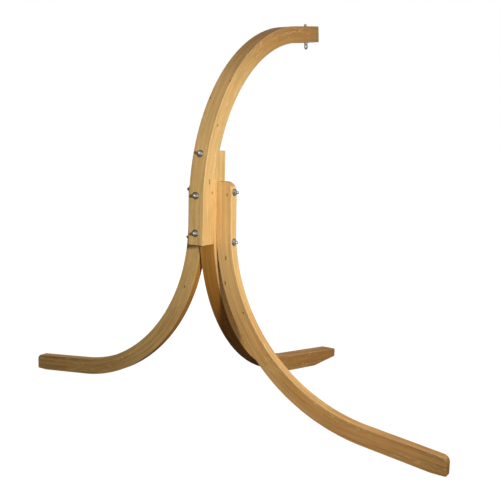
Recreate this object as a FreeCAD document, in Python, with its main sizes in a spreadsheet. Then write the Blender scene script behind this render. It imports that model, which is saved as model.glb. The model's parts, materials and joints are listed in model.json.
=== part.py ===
import FreeCAD, Part
import math
import os

import Sketcher

# A free-standing wooden stand for one hanging chair.
#
# Four glue-laminated, bent beams meet at a hub.  The arm rises from the hub and bends over the
# seat.  The centre leg lies in the arm's own upright plane and bends down and forward beneath it.
# Two half-width side legs are bolted to the flanks of the centre leg and bend out to the sides.
# All four come off one bending form, so they share one outer radius.
#
# Frame: +X is the way the arm points, +Y is the left leg's way, +Z is up, in millimetres.
# The hub plane is where the arm's inner face meets the back of the centre leg.  Sub-parts are
# worked out with that plane at x = 0 and are then moved by `to_middle`, so that the origin is
# on the ground in the middle of the footprint.

# ---------------------------------------------------------------------------------------------
# Driving dimensions
# ---------------------------------------------------------------------------------------------

DIMENSIONS = [
    ("beam", 90, "width and depth of the arm and the centre leg, depth of a side leg"),
    ("side_width", 45, "width of a side leg"),
    ("outer_radius", 955, "outer radius of every bend"),
    ("edge_round", 2.5, "rounding of the timber's edges"),

    ("arm_foot", 900, "height of the arm's square lower end"),
    ("arm_bend_start", 1102, "height where the arm starts to bend"),
    ("arm_bend", 83.2, "angle the arm bends through, degrees"),
    ("arm_tail", 258, "straight length at the arm's tip"),
    ("arm_tip_round", 8, "rounding of the arm's tip, top and bottom"),

    ("leg_bend_start", 988, "height where all three legs start to bend"),
    ("centre_top", 1364, "height of the centre leg's top"),
    ("centre_bend", 81.6, "angle the centre leg bends through, degrees"),
    ("centre_tail", 600, "straight length of the centre leg before its toe is cut"),
    ("centre_reach", 1380, "hub plane to the centre leg's toe"),
    ("centre_toe_round", 6, "rounding of the centre leg's toe"),

    ("side_top", 1214, "height of a side leg's top"),
    ("side_bend", 83.3, "angle a side leg bends through, degrees"),
    ("side_tail", 440, "straight length of a side leg before its toe is cut"),
    ("side_reach", 1292, "middle plane to a side leg's toe"),
    ("side_crown_round", 52, "rounding of a side leg's top outer corner"),
    ("side_toe_round", 32, "rounding of a side leg's toe"),

    ("bolt_shank", 12, "thickness of a frame bolt or rod"),
    ("bolt_bore", 13, "hole for a frame bolt or rod"),
    ("bolt_head_flats", 19, "across flats of a bolt head"),
    ("bolt_head_height", 7.5, "height of a bolt head"),
    ("washer_outer", 37, "outer diameter of a frame washer"),
    ("washer_thick", 3, "thickness of a frame washer"),
    ("nut_flats", 19, "across flats of a frame cap nut"),
    ("nut_hex_height", 10, "height of a frame cap nut's hexagon"),
    ("nut_height", 22, "height of a frame cap nut with its dome"),
    ("nut_grip", 14, "length of thread inside a frame cap nut"),

    ("arm_bolt_low", 960, "height of the lower arm bolt"),
    ("arm_bolt_mid", 1146, "height of the middle arm bolt"),
    ("arm_bolt_tilt", 15, "tilt of the upper arm bolt, square to the bend, degrees"),
    ("spot_face", 42, "diameter of a flat seat cut for a washer on a curved face"),
    ("spot_radius", 808, "bend centre to the seat of the upper arm bolt's inner washer"),
    ("leg_rod_low", 914, "height of the lower through rod of the legs"),
    ("leg_rod_high", 1163, "height of the upper through rod of the legs"),
    ("rod_seat_rise", 1.5, "side leg's upright face to the seats of the lower rod's washers"),

    ("eye_shank", 10, "thickness of the eye bolt"),
    ("eye_bore", 10.2, "hole for the eye bolt, close enough to guide it"),
    ("eye_from_tip", 76, "arm tip to the eye bolt, along the arm"),
    ("eye_ring", 27, "mean diameter of the eye's ring"),
    ("eye_wire", 9, "thickness of the eye's ring"),
    ("eye_collar", 18, "diameter of the eye bolt's collar"),
    ("eye_collar_height", 3.5, "height of the eye bolt's collar, which keeps the ring off the washer"),
    ("eye_washer_outer", 24, "outer diameter of an eye bolt washer"),
    ("eye_washer_thick", 2, "thickness of an eye bolt washer"),
    ("eye_nut_flats", 17, "across flats of the eye bolt's cap nut"),
    ("eye_nut_hex_height", 7, "height of that nut's hexagon"),
    ("eye_nut_height", 14, "height of that nut with its dome"),
    ("eye_nut_grip", 9, "length of thread inside that nut"),

    ("slack", 0.1, "gap between a thread and its nut, and beside a face that turns"),
    ("overcut", 10, "how far a cut runs on past the timber"),
]

BEVEL_ANGLE = 30      # degrees, on the corners of a hexagon
DOME_SHARE = 0.45     # radius of a cap nut's dome over its width across flats
SMOOTH = 0.95         # two faces whose normals agree better than this make no sharp edge
SAME = 0.01           # mm, sizes closer than this are the same


class Size:
    """A number together with the sheet formula that gives it."""

    def __init__(self, value, formula):
        self.value = value
        self.formula = formula

    def __add__(self, other):
        other = as_size(other)
        return Size(self.value + other.value, "(%s + %s)" % (self.formula, other.formula))

    def __sub__(self, other):
        other = as_size(other)
        return Size(self.value - other.value, "(%s - %s)" % (self.formula, other.formula))

    def __mul__(self, other):
        other = as_size(other)
        return Size(self.value * other.value, "(%s * %s)" % (self.formula, other.formula))

    def __truediv__(self, other):
        other = as_size(other)
        return Size(self.value / other.value, "(%s / %s)" % (self.formula, other.formula))

    def __neg__(self):
        return Size(-self.value, "(0 - %s)" % self.formula)


def as_size(number):
    return number if isinstance(number, Size) else Size(number, repr(number))


def sine(angle):
    return Size(math.sin(math.radians(angle.value)), "sin(%s * 1deg)" % angle.formula)


def cosine(angle):
    return Size(math.cos(math.radians(angle.value)), "cos(%s * 1deg)" % angle.formula)


doc = FreeCAD.newDocument("hanging_chair_stand")
sheet = doc.addObject("Spreadsheet::Sheet", "dims")
dims = {}
for row, (alias, number, note) in enumerate(DIMENSIONS, start=1):
    sheet.set("A%d" % row, alias)
    sheet.set("B%d" % row, str(number))
    sheet.set("C%d" % row, note)
    sheet.setAlias("B%d" % row, alias)
    dims[alias] = Size(number, "dims." + alias)
doc.recompute()

ZERO = Size(0, "0")
beam = dims["beam"]
half_beam = beam / 2
inner_radius = dims["outer_radius"] - beam
hub_depth = beam + dims["washer_thick"] + dims["nut_height"]
to_middle = (hub_depth - dims["centre_reach"]) / 2
sub_parts = []


# ---------------------------------------------------------------------------------------------
# Helpers for bodies, sketches and features
# ---------------------------------------------------------------------------------------------

def bind(thing, prop, size):
    """Tie one property to the sheet."""
    thing.setExpression(prop, size.formula)


def new_body(label):
    body = doc.addObject("PartDesign::Body", label)
    body.Label = label
    sub_parts.append(body)
    return body


def new_sketch(body, plane, x=ZERO, y=ZERO, turn=ZERO):
    """A sketch on one of the body's origin planes, its own axes moved to (x, y) and turned."""
    sketch = body.newObject("Sketcher::SketchObject", body.Label + "_sketch")
    origin_plane = [f for f in body.Origin.OriginFeatures if f.Role == plane + "_Plane"][0]
    sketch.AttachmentSupport = [(origin_plane, "")]
    sketch.MapMode = "FlatFace"
    sketch.AttachmentOffset = FreeCAD.Placement(
        FreeCAD.Vector(x.value, y.value, 0),
        FreeCAD.Rotation(FreeCAD.Vector(0, 0, 1), turn.value))
    for prop, size in (("Base.x", x), ("Base.y", y), ("Rotation.Angle", turn)):
        if size is not ZERO:
            bind(sketch, "AttachmentOffset." + prop, size)
    return sketch


def dimension(sketch, kind, *refs):
    """Add a driving dimension; the last of refs is its Size."""
    size = refs[-1]
    number = math.radians(size.value) if kind == "Angle" else size.value
    index = sketch.addConstraint(Sketcher.Constraint(kind, *refs[:-1], number))
    formula = "%s * 1deg" % size.formula if kind == "Angle" else size.formula
    sketch.setExpression("Constraints[%d]" % index, formula)


def pin(sketch, geometry, point, x, y):
    """Hold one point at (x, y) from the sketch's origin."""
    for kind, axis, size in (("DistanceX", -2, x), ("DistanceY", -1, y)):
        if size is ZERO:
            sketch.addConstraint(Sketcher.Constraint("PointOnObject", geometry, point, axis))
        else:
            dimension(sketch, kind, -1, 1, geometry, point, size)


def polygon(sketch, corners):
    """A closed outline of straight lines through the corners, each corner pinned."""
    spots = [FreeCAD.Vector(x.value, y.value, 0) for x, y in corners]
    first = sketch.GeometryCount
    count = len(corners)
    for k in range(count):
        sketch.addGeometry(Part.LineSegment(spots[k], spots[(k + 1) % count]), False)
    for k in range(count):
        following = first + (k + 1) % count
        sketch.addConstraint(Sketcher.Constraint("Coincident", first + k, 2, following, 1))
        pin(sketch, first + k, 1, *corners[k])


def rectangle(sketch, x_low, x_high, y_low, y_high):
    polygon(sketch, [(x_low, y_low), (x_high, y_low), (x_high, y_high), (x_low, y_high)])


def circle(sketch, x, y, diameter):
    centre = FreeCAD.Vector(x.value, y.value, 0)
    ring = Part.Circle(centre, FreeCAD.Vector(0, 0, 1), diameter.value / 2)
    index = sketch.addGeometry(ring, False)
    pin(sketch, index, 3, x, y)
    dimension(sketch, "Diameter", index, diameter)


def pad(body, sketch, length, symmetric=False, reverse=False):
    feature = body.newObject("PartDesign::Pad", body.Label + "_pad")
    feature.Profile = sketch
    feature.SideType = "Symmetric" if symmetric else "One side"
    feature.Reversed = reverse
    bind(feature, "Length", length)
    return finished(feature)


def cut(body, sketch, length, symmetric=True, reverse=False):
    """A pocket that has to take material away."""
    before = body.Shape.Volume
    feature = body.newObject("PartDesign::Pocket", body.Label + "_pocket")
    feature.Profile = sketch
    feature.SideType = "Symmetric" if symmetric else "One side"
    feature.Reversed = reverse
    bind(feature, "Length", length)
    finished(feature)
    if body.Shape.Volume >= before:
        raise RuntimeError(feature.Label + " cuts nothing")
    return feature


def turned(body, kind, sketch, axis="V_Axis"):
    """A Revolution or Groove of a full turn about an axis of its own sketch."""
    before = body.Shape.Volume if body.Tip else 0
    feature = body.newObject("PartDesign::" + kind, body.Label + "_" + kind.lower())
    feature.Profile = sketch
    feature.ReferenceAxis = (sketch, [axis])
    feature.Angle = 360
    finished(feature)
    if (body.Shape.Volume > before) != (kind == "Revolution"):
        raise RuntimeError(feature.Label + " changes nothing")
    return feature


def dress(body, kind, size, chosen):
    """Fillet or Chamfer the edges of the body that chosen(edge) picks."""
    picks = ["Edge%d" % k for k, edge in enumerate(body.Shape.Edges, start=1) if chosen(edge)]
    if not picks:
        raise RuntimeError(body.Label + ": no edge to dress")
    base = body.Tip
    feature = body.newObject("PartDesign::" + kind, body.Label + "_" + kind.lower())
    feature.Base = (base, picks)
    bind(feature, "Radius" if kind == "Fillet" else "Size", size)
    return finished(feature)


def finished(feature):
    doc.recompute()
    if not feature.isValid():
        raise RuntimeError(feature.Label + " failed")
    return feature


def place(body, x, y, z, rotation=FreeCAD.Rotation()):
    """Put a finished body into the stand, x measured from the hub plane."""
    body.Placement = FreeCAD.Placement(
        FreeCAD.Vector(to_middle.value + x.value, y.value, z.value), rotation)
    bind(body, "Placement.Base.x", to_middle + x)
    bind(body, "Placement.Base.y", y)
    bind(body, "Placement.Base.z", z)


def spin_to(direction):
    """The turn that takes +Z to a direction."""
    return FreeCAD.Rotation(FreeCAD.Vector(0, 0, 1), FreeCAD.Vector(*direction))


# ---------------------------------------------------------------------------------------------
# Bent timber
# ---------------------------------------------------------------------------------------------

def bent_outline(sketch, face, up, start, bend_start, bend, tail):
    """
    The side view of one bent beam.  Its outer face stands at x = face from `start` to
    `bend_start`, then follows an arc of the outer radius through `bend` towards +x, and runs
    on straight for `tail`.  up is 1 for the arm, which rises, and -1 for a leg, which falls.
    """
    outer, inner = dims["outer_radius"], inner_radius
    centre_x = face.value + outer.value
    turn = math.radians(bend.value)
    along = FreeCAD.Vector(math.sin(turn), up * math.cos(turn), 0) * tail.value

    def on_arc(radius, angle):
        return FreeCAD.Vector(centre_x - radius * math.cos(angle),
                              bend_start.value + up * radius * math.sin(angle), 0)

    def arc(radius):
        middle = FreeCAD.Vector(centre_x, bend_start.value, 0)
        ring = Part.Circle(middle, FreeCAD.Vector(0, 0, 1), radius)
        low, high = sorted((math.pi, math.pi - up * turn))
        return Part.ArcOfCircle(ring, low, high)

    def upright(radius):
        return FreeCAD.Vector(centre_x - radius, start.value, 0)

    ends = {radius: on_arc(radius, turn) for radius in (outer.value, inner.value)}
    far_outer, far_inner = ends[outer.value] + along, ends[inner.value] + along
    sketch.addGeometry([
        Part.LineSegment(upright(outer.value), on_arc(outer.value, 0)),   # 0 outer upright face
        arc(outer.value),                                                 # 1 outer bend
        Part.LineSegment(ends[outer.value], far_outer),                   # 2 outer tail
        Part.LineSegment(far_outer, far_inner),                           # 3 end grain at the tail
        Part.LineSegment(far_inner, ends[inner.value]),                   # 4 inner tail
        arc(inner.value),                                                 # 5 inner bend
        Part.LineSegment(on_arc(inner.value, 0), upright(inner.value)),   # 6 inner upright face
        Part.LineSegment(upright(inner.value), upright(outer.value)),     # 7 end grain
    ], False)
    near, far = (2, 1) if up > 0 else (1, 2)     # an arc's points run anticlockwise
    for constraint in (("Tangent", 0, 2, 1, near), ("Tangent", 1, far, 2, 1),
                       ("Coincident", 2, 2, 3, 1), ("Coincident", 3, 2, 4, 1),
                       ("Tangent", 4, 2, 5, far), ("Tangent", 5, near, 6, 1),
                       ("Coincident", 6, 2, 7, 1), ("Coincident", 7, 2, 0, 1),
                       ("Coincident", 1, 3, 5, 3), ("Vertical", 0), ("Vertical", 6),
                       ("Horizontal", 7), ("Parallel", 2, 4), ("Perpendicular", 2, 3)):
        sketch.addConstraint(Sketcher.Constraint(*constraint))
    pin(sketch, 0, 2, face, bend_start)
    dimension(sketch, "Radius", 1, outer)
    dimension(sketch, "DistanceX", 0, 1, 6, 2, beam)
    dimension(sketch, "DistanceY", -1, 1, 0, 1, start)
    dimension(sketch, "Distance", 2, 1, 2, 2, tail)
    right_angle = Size(90, "90")
    dimension(sketch, "Angle", 2, right_angle - bend if up > 0 else bend - right_angle)


def line_at(axis, *lines):
    """Picks the edges parallel to an axis that run through one of the given points."""
    others = [name for name in "xyz" if name != axis]

    def on(edge, line):
        return all(abs(getattr(vertex.Point, name) - size.value) < SAME
                   for vertex in edge.Vertexes for name, size in zip(others, line))

    def chosen(edge):
        return len(edge.Vertexes) == 2 and any(on(edge, line) for line in lines)

    return chosen


def corners_of(body):
    """Picks the edges where two faces meet at a real angle, not the seams of a smooth bend."""
    shape = body.Shape

    def chosen(edge):
        spot = edge.valueAt((edge.FirstParameter + edge.LastParameter) / 2)
        one, other = [face.normalAt(*face.Surface.parameter(spot))
                      for face in shape.ancestorsOfType(edge, Part.Face)]
        return abs(one.dot(other)) < SMOOTH

    return chosen


def bore_square_to_bend(body, start, length, diameter):
    """Drill along the arm's tilted bolt, a radius of its bend, from `start` for `length`."""
    half_turn = Size(180, "180")
    sketch = new_sketch(body, "XZ", inner_radius, dims["arm_bend_start"],
                        half_turn - dims["arm_bolt_tilt"])
    rectangle(sketch, start, start + length, ZERO, diameter / 2)
    turned(body, "Groove", sketch, "H_Axis")


def seat_for_washer(body, plane, face, height):
    """Cut a round flat seat into a curved face, `face` away from the sketch's origin."""
    sketch = new_sketch(body, plane, face, height)
    rectangle(sketch, ZERO, half_beam, ZERO, dims["spot_face"] / 2)
    turned(body, "Groove", sketch, "H_Axis")


def make_arm():
    body = new_body("arm")
    sketch = new_sketch(body, "XZ")
    bent_outline(sketch, -beam, 1, dims["arm_foot"], dims["arm_bend_start"],
                 dims["arm_bend"], dims["arm_tail"])
    pad(body, sketch, beam, symmetric=True)
    tip = [arm_point(dims["arm_tail"], depth) for depth in (ZERO, beam)]
    dress(body, "Fillet", dims["arm_tip_round"], line_at("y", *tip))
    dress(body, "Fillet", dims["edge_round"], corners_of(body))

    sketch = new_sketch(body, "YZ")
    circle(sketch, ZERO, dims["arm_bolt_low"], dims["bolt_bore"])
    circle(sketch, ZERO, dims["arm_bolt_mid"], dims["bolt_bore"])
    cut(body, sketch, beam * 3)
    over = dims["overcut"]
    bore_square_to_bend(body, inner_radius - over, beam + over * 2, dims["bolt_bore"])

    x, z = eye_seat(ZERO)
    sketch = new_sketch(body, "XZ", x, z, -dims["arm_bend"])
    rectangle(sketch, -over, beam + over, ZERO, dims["eye_bore"] / 2)
    turned(body, "Groove", sketch, "H_Axis")
    place(body, ZERO, ZERO, ZERO)


def eye_seat(depth):
    """A point on the eye bolt's axis, `depth` below the arm's upper face."""
    return arm_point(dims["arm_tail"] - dims["eye_from_tip"], depth)


def arm_point(along, depth):
    """A point of the arm's tail, `along` past the bend and `depth` below the upper face."""
    bend, outer = dims["arm_bend"], dims["outer_radius"]
    x = inner_radius - (outer - depth) * cosine(bend) + along * sine(bend)
    z = dims["arm_bend_start"] + (outer - depth) * sine(bend) + along * cosine(bend)
    return x, z


def trim_foot(body, sketch_plane, width, reach, tail):
    """Plane the underside flat on the ground and cut the toe upright."""
    sketch = new_sketch(body, sketch_plane)
    rectangle(sketch, ZERO, reach + tail, -beam * 2, ZERO)
    cut(body, sketch, width * 2)
    sketch = new_sketch(body, sketch_plane)
    rectangle(sketch, reach, reach + tail, -beam, beam * 3)
    cut(body, sketch, width * 2)


def make_centre_leg():
    body = new_body("centre_leg")
    sketch = new_sketch(body, "XZ")
    bent_outline(sketch, ZERO, -1, dims["centre_top"], dims["leg_bend_start"],
                 dims["centre_bend"], dims["centre_tail"])
    pad(body, sketch, beam, symmetric=True)
    trim_foot(body, "XZ", beam, dims["centre_reach"], dims["centre_tail"])

    scribe_to_arm(body)
    toe = (dims["centre_reach"], leg_upper_face(dims["centre_reach"], dims["centre_bend"]))
    dress(body, "Fillet", dims["centre_toe_round"], line_at("y", toe))
    dress(body, "Fillet", dims["edge_round"], corners_of(body))

    sketch = new_sketch(body, "YZ")
    circle(sketch, ZERO, dims["arm_bolt_low"], dims["bolt_bore"])
    circle(sketch, ZERO, dims["arm_bolt_mid"], dims["bolt_bore"])
    cut(body, sketch, beam * 3)
    bore_square_to_bend(body, dims["spot_radius"] - beam, beam * 2, dims["bolt_bore"])
    bore_square_to_bend(body, dims["spot_radius"] - beam / 3, beam / 3, dims["spot_face"])
    seat_for_washer(body, "XZ", beam, dims["arm_bolt_low"])
    sketch = new_sketch(body, "XZ")
    circle(sketch, half_beam, dims["leg_rod_low"], dims["bolt_bore"])
    circle(sketch, half_beam, dims["leg_rod_high"], dims["bolt_bore"])
    cut(body, sketch, beam * 2)
    place(body, ZERO, ZERO, ZERO)


def scribe_to_arm(body):
    """Shape the leg's upper end to the arm's inner face, which bends away from the upright."""
    clear = dims["overcut"]
    start, over = dims["arm_bend_start"], dims["centre_top"] + clear
    rise = over.value - start.value
    corner = inner_radius.value - math.sqrt(inner_radius.value ** 2 - rise ** 2)
    ring = Part.Circle(FreeCAD.Vector(inner_radius.value, start.value, 0),
                       FreeCAD.Vector(0, 0, 1), inner_radius.value)
    sweep = math.asin(rise / inner_radius.value)
    spots = [FreeCAD.Vector(*spot, 0) for spot in (
        (-clear.value, start.value), (0, start.value),
        (corner, over.value), (-clear.value, over.value))]
    sketch = new_sketch(body, "XZ")
    sketch.addGeometry([
        Part.LineSegment(spots[0], spots[1]),
        Part.ArcOfCircle(ring, math.pi - sweep, math.pi),
        Part.LineSegment(spots[2], spots[3]),
        Part.LineSegment(spots[3], spots[0]),
    ], False)
    for constraint in (("Coincident", 0, 2, 1, 2), ("Coincident", 1, 1, 2, 1),
                       ("Coincident", 2, 2, 3, 1), ("Coincident", 3, 2, 0, 1),
                       ("Horizontal", 2), ("Vertical", 3)):
        sketch.addConstraint(Sketcher.Constraint(*constraint))
    pin(sketch, 0, 1, -clear, start)
    pin(sketch, 0, 2, ZERO, start)
    pin(sketch, 1, 3, inner_radius, start)
    dimension(sketch, "DistanceY", -1, 1, 2, 1, over)
    cut(body, sketch, beam * 2)


def leg_upper_face(reach, bend):
    """Height of a leg's upper face at its toe, `reach` from the leg's outer face."""
    run = reach - dims["outer_radius"] + inner_radius * cosine(bend)
    fall = inner_radius * sine(bend) + run * cosine(bend) / sine(bend)
    return dims["leg_bend_start"] - fall


def make_side_leg(label, turn):
    """
    One side leg, drawn as the left one and turned about Z for the right.  Its outer face
    bears on the flank of the centre leg.
    """
    body = new_body(label)
    sketch = new_sketch(body, "YZ")
    bent_outline(sketch, half_beam, -1, dims["side_top"], dims["leg_bend_start"],
                 dims["side_bend"], dims["side_tail"])
    pad(body, sketch, dims["side_width"], symmetric=True)
    trim_foot(body, "YZ", dims["side_width"], dims["side_reach"], dims["side_tail"])
    crown = (half_beam + beam, dims["side_top"])
    toe = (dims["side_reach"], leg_upper_face(dims["side_reach"] - half_beam, dims["side_bend"]))
    dress(body, "Fillet", dims["side_crown_round"], line_at("x", crown))
    dress(body, "Fillet", dims["side_toe_round"], line_at("x", toe))
    dress(body, "Fillet", dims["edge_round"], corners_of(body))
    sketch = new_sketch(body, "XZ")
    circle(sketch, ZERO, dims["leg_rod_low"], dims["bolt_bore"])
    circle(sketch, ZERO, dims["leg_rod_high"], dims["bolt_bore"])
    cut(body, sketch, beam * 5)
    seat_for_washer(body, "YZ", half_beam + beam + dims["rod_seat_rise"], dims["leg_rod_low"])
    place(body, half_beam, ZERO, ZERO, FreeCAD.Rotation(FreeCAD.Vector(0, 0, 1), turn))


# ---------------------------------------------------------------------------------------------
# Bolts, rods, washers and cap nuts, each drawn standing on its own XY plane
# ---------------------------------------------------------------------------------------------

def hexagon(sketch, flats):
    """A regular hexagon about the sketch's origin, two corners on the x axis."""
    corner = flats / 3 ** 0.5
    half_flat, half_side = flats / 2, corner / 2
    polygon(sketch, [(corner, ZERO), (half_side, half_flat), (-half_side, half_flat),
                     (-corner, ZERO), (-half_side, -half_flat), (half_side, -half_flat)])


def bevel_corners(body, flats, *rims):
    """Turn off a hexagon's corners; a rim is (height, 1 or -1 for the way into the metal)."""
    past_corners = flats * 0.7
    drop = (past_corners - flats / 2) * math.tan(math.radians(BEVEL_ANGLE))
    for height, inward in rims:
        sketch = new_sketch(body, "XZ")
        polygon(sketch, [(flats / 2, height), (past_corners, height),
                         (past_corners, height + drop * inward)])
        turned(body, "Groove", sketch)


def rims_at(diameter, *heights):
    """Picks whole circles of one diameter at the given heights."""
    def chosen(edge):
        whole = abs(edge.Length - math.pi * diameter.value) < SAME
        return whole and any(abs(edge.CenterOfMass.z - h.value) < SAME for h in heights)

    return chosen


def make_washer(label, outer, bore, thick):
    body = new_body(label)
    sketch = new_sketch(body, "XY")
    circle(sketch, ZERO, ZERO, outer)
    circle(sketch, ZERO, ZERO, bore)
    pad(body, sketch, thick)
    dress(body, "Fillet", thick / 6, rims_at(outer, ZERO, thick))
    return body


def make_cap_nut(label, flats, hex_height, height, thread, grip):
    """A domed nut: the hexagon, a dome turned on top of it, and a blind threaded hole."""
    body = new_body(label)
    sketch = new_sketch(body, "XY")
    hexagon(sketch, flats)
    pad(body, sketch, hex_height)
    bevel_corners(body, flats, (hex_height, -1), (ZERO, 1))

    dome = flats * DOME_SHARE
    sketch = new_sketch(body, "XZ")
    low, middle, top = hex_height / 2, height - dome, height
    spots = [FreeCAD.Vector(x, y, 0) for x, y in (
        (0, low.value), (dome.value, low.value), (dome.value, middle.value), (0, top.value))]
    ring = Part.Circle(FreeCAD.Vector(0, middle.value, 0), FreeCAD.Vector(0, 0, 1), dome.value)
    sketch.addGeometry([
        Part.LineSegment(spots[0], spots[1]), Part.LineSegment(spots[1], spots[2]),
        Part.ArcOfCircle(ring, 0, math.pi / 2), Part.LineSegment(spots[3], spots[0])], False)
    for constraint in (("Coincident", 0, 2, 1, 1), ("Coincident", 1, 2, 2, 1),
                       ("Coincident", 2, 2, 3, 1), ("Coincident", 3, 2, 0, 1),
                       ("Vertical", 1), ("PointOnObject", 2, 2, -2)):
        sketch.addConstraint(Sketcher.Constraint(*constraint))
    pin(sketch, 0, 1, ZERO, low)
    pin(sketch, 0, 2, dome, low)
    pin(sketch, 2, 3, ZERO, middle)
    turned(body, "Revolution", sketch)

    sketch = new_sketch(body, "XY")
    circle(sketch, ZERO, ZERO, thread + dims["slack"] * 2)
    cut(body, sketch, grip + dims["slack"] * 5, symmetric=False, reverse=True)
    return body


def make_rod(label, diameter, length):
    """A round bar with chamfered ends."""
    body = new_body(label)
    sketch = new_sketch(body, "XY")
    circle(sketch, ZERO, ZERO, diameter)
    pad(body, sketch, length)
    dress(body, "Chamfer", diameter / 12, rims_at(diameter, ZERO, length))
    return body


def make_hex_bolt(label, length):
    """A bolt standing on the top of its head, its shank reaching `length` beyond the head."""
    body = new_body(label)
    flats, shank, head = dims["bolt_head_flats"], dims["bolt_shank"], dims["bolt_head_height"]
    sketch = new_sketch(body, "XY")
    hexagon(sketch, flats)
    pad(body, sketch, head)
    bevel_corners(body, flats, (ZERO, 1))
    sketch = new_sketch(body, "XY")
    circle(sketch, ZERO, ZERO, shank)
    pad(body, sketch, head + length)
    dress(body, "Chamfer", shank / 12, rims_at(shank, head + length))
    return body


def make_eye_bolt(label, length):
    """The eye hangs below the XY plane, its collar bears on it, and the shank rises above."""
    body = new_body(label)
    shank, wire, ring = dims["eye_shank"], dims["eye_wire"], dims["eye_ring"]
    collar_height = dims["eye_collar_height"]
    sketch = new_sketch(body, "XY")
    circle(sketch, ZERO, ZERO, shank)
    pad(body, sketch, length)
    dress(body, "Chamfer", shank / 12, rims_at(shank, length))
    sketch = new_sketch(body, "XY")
    circle(sketch, ZERO, ZERO, dims["eye_collar"])
    pad(body, sketch, collar_height + wire / 4, reverse=True)
    sketch = new_sketch(body, "YZ", ZERO, -(collar_height + ring / 2 + wire / 6))
    circle(sketch, ZERO, ring / 2, wire)
    turned(body, "Revolution", sketch, "H_Axis")
    return body


# ---------------------------------------------------------------------------------------------
# Fastening the stand together
# ---------------------------------------------------------------------------------------------

def clamp_end(label, at, seat, way, direction):
    """A washer on the timber and a cap nut over it; `way` is 1 along the direction, else -1."""
    thick = dims["washer_thick"]
    outward = [way * part for part in direction]
    washer = make_washer(label + "_washer", dims["washer_outer"], dims["bolt_bore"], thick)
    place(washer, *at(seat), spin_to(outward))
    return at(seat + thick * way), spin_to(outward)


def frame_cap_nut(label, spot, rotation):
    nut = make_cap_nut(label, dims["nut_flats"], dims["nut_hex_height"], dims["nut_height"],
                       dims["bolt_shank"], dims["nut_grip"])
    place(nut, *spot, rotation)


def arm_bolt(name, at, inner_seat, outer_seat, direction):
    """A hexagon bolt from the front of the centre leg to a cap nut on the arm's back."""
    thick, head = dims["washer_thick"], dims["bolt_head_height"]
    clamp_end("arm_%s_front" % name, at, inner_seat, -1, direction)
    spot, rotation = clamp_end("arm_%s_back" % name, at, outer_seat, 1, direction)
    frame_cap_nut("arm_%s_cap_nut" % name, spot, rotation)
    bolt = make_hex_bolt("arm_%s_bolt" % name,
                         outer_seat - inner_seat + thick * 2 + dims["nut_grip"])
    place(bolt, *at(inner_seat - thick - head), rotation)


def leg_rod(name, height, rise):
    """
    A threaded rod through both side legs and the centre leg, a cap nut at each end.  The
    washers' seats lie `rise` outside the upright faces of the side legs.
    """
    def at(along):
        return half_beam, along, height

    seat, direction = half_beam + beam + rise, (0, 1, 0)
    for side, way in (("left", 1), ("right", -1)):
        label = "leg_%s_%s" % (name, side)
        spot, rotation = clamp_end(label, at, seat * way, way, direction)
        frame_cap_nut(label + "_cap_nut", spot, rotation)
    overhang = dims["washer_thick"] + dims["nut_grip"]
    rod = make_rod("leg_%s_rod" % name, dims["bolt_shank"], (seat + overhang) * 2)
    place(rod, *at(-(seat + overhang)), spin_to(direction))


def eye_bolt():
    """The hanging eye under the arm's tip, square to the arm, with a cap nut on top."""
    thick, slack = dims["eye_washer_thick"], dims["slack"]
    tilt = math.radians(dims["arm_bend"].value)
    upward = spin_to((-math.cos(tilt), 0, math.sin(tilt)))

    def put(body, depth):
        x, z = eye_seat(depth)
        place(body, x, ZERO, z, upward)

    for label, depth in (("eye_upper_washer", ZERO), ("eye_lower_washer", beam + thick)):
        put(make_washer(label, dims["eye_washer_outer"], dims["eye_bore"] + slack * 3, thick), depth)
    bolt = make_eye_bolt("eye_bolt", beam + thick * 2 + slack * 2 + dims["eye_nut_grip"])
    put(bolt, beam + thick + slack)
    nut = make_cap_nut("eye_cap_nut", dims["eye_nut_flats"], dims["eye_nut_hex_height"],
                       dims["eye_nut_height"], dims["eye_shank"], dims["eye_nut_grip"])
    put(nut, -(thick + slack))


make_arm()
make_centre_leg()
make_side_leg("left_leg", 0)
make_side_leg("right_leg", 180)

for level, height in (("lower", dims["arm_bolt_low"]), ("middle", dims["arm_bolt_mid"])):
    arm_bolt(level, lambda along, z=height: (-along, ZERO, z), -beam, beam, (-1, 0, 0))

bolt_tilt = dims["arm_bolt_tilt"]
arm_bolt("upper",
         lambda along: (inner_radius - along * cosine(bolt_tilt), ZERO,
                        dims["arm_bend_start"] + along * sine(bolt_tilt)),
         dims["spot_radius"], dims["outer_radius"],
         (-cosine(bolt_tilt).value, 0, sine(bolt_tilt).value))

leg_rod("lower", dims["leg_rod_low"], dims["rod_seat_rise"])
leg_rod("upper", dims["leg_rod_high"], ZERO)
eye_bolt()


# ---------------------------------------------------------------------------------------------
# Check and export
# ---------------------------------------------------------------------------------------------

doc.recompute()
for thing in doc.Objects:
    if "Invalid" in thing.State or "Error" in thing.State:
        raise RuntimeError("%s is %s" % (thing.Label, thing.State))
for body in sub_parts:
    if body.Shape.isNull() or not body.Shape.isValid() or len(body.Shape.Solids) != 1:
        raise RuntimeError(body.Label + " has no sound single solid")

os.makedirs("parts", exist_ok=True)
for body in sub_parts:
    body.Shape.exportStep("parts/%s.step" % body.Label)
    print("%-26s %10.1f mm3" % (body.Label, body.Shape.Volume))
print("sub-parts:", len(sub_parts))
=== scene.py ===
# %% [markdown]
# # A bent-timber stand for a hanging chair
# The stand is four curved softwood beams, bolted together at a hub.  Each beam is glued up
# from thin boards that were clamped round a form until the glue set.  The bolts, washers and
# nuts already have their true shapes in the fixed model, so they only need a finish.  The
# beams get new, finer surfaces, because timber shows its whole character along the bend.

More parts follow.
